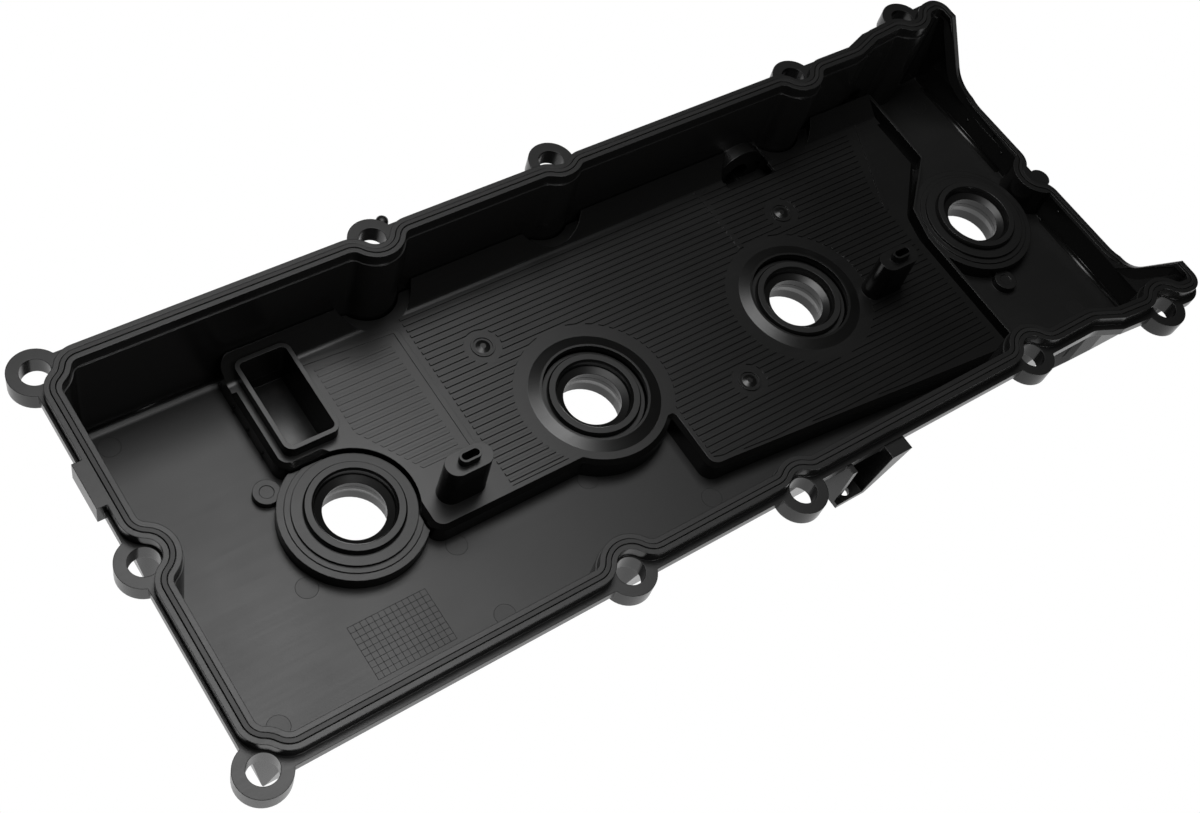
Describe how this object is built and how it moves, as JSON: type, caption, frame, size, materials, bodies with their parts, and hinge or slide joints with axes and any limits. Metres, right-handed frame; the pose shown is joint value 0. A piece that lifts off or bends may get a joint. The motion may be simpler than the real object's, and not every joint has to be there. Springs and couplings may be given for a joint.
{
  "type": "valve cover",
  "caption": "Moulded plastic engine valve cover with a gasket groove, plug tubes with seals, and a ribbed oil separator plate, lying with its open side up.",
  "frame": {"origin": "centre of plug hole 1 on the outside collar face that the cover rests on", "axes": "+Z out of the open gasket side, +X along the row of plug holes towards the arched end, +Y towards the side with the breather port"},
  "size_m": [0.4653, 0.1987, 0.06],
  "materials": {
    "nylon": "satin",
    "plate_nylon": "satin",
    "gasket_rubber": "matte",
    "seal_rubber": "satin",
    "insert_brass": "machined"
  },
  "bodies": {
    "root": {"cover_shell": "nylon", "baffle_plate": "plate_nylon", "rim_gasket": "gasket_rubber", "plug_seal_1": "seal_rubber", "plug_seal_2": "seal_rubber", "plug_seal_3": "seal_rubber", "plug_seal_4": "seal_rubber", "coil_insert_1": "insert_brass", "coil_insert_2": "insert_brass", "coil_insert_3": "insert_brass", "coil_insert_4": "insert_brass"}
  },
  "joints": []
}
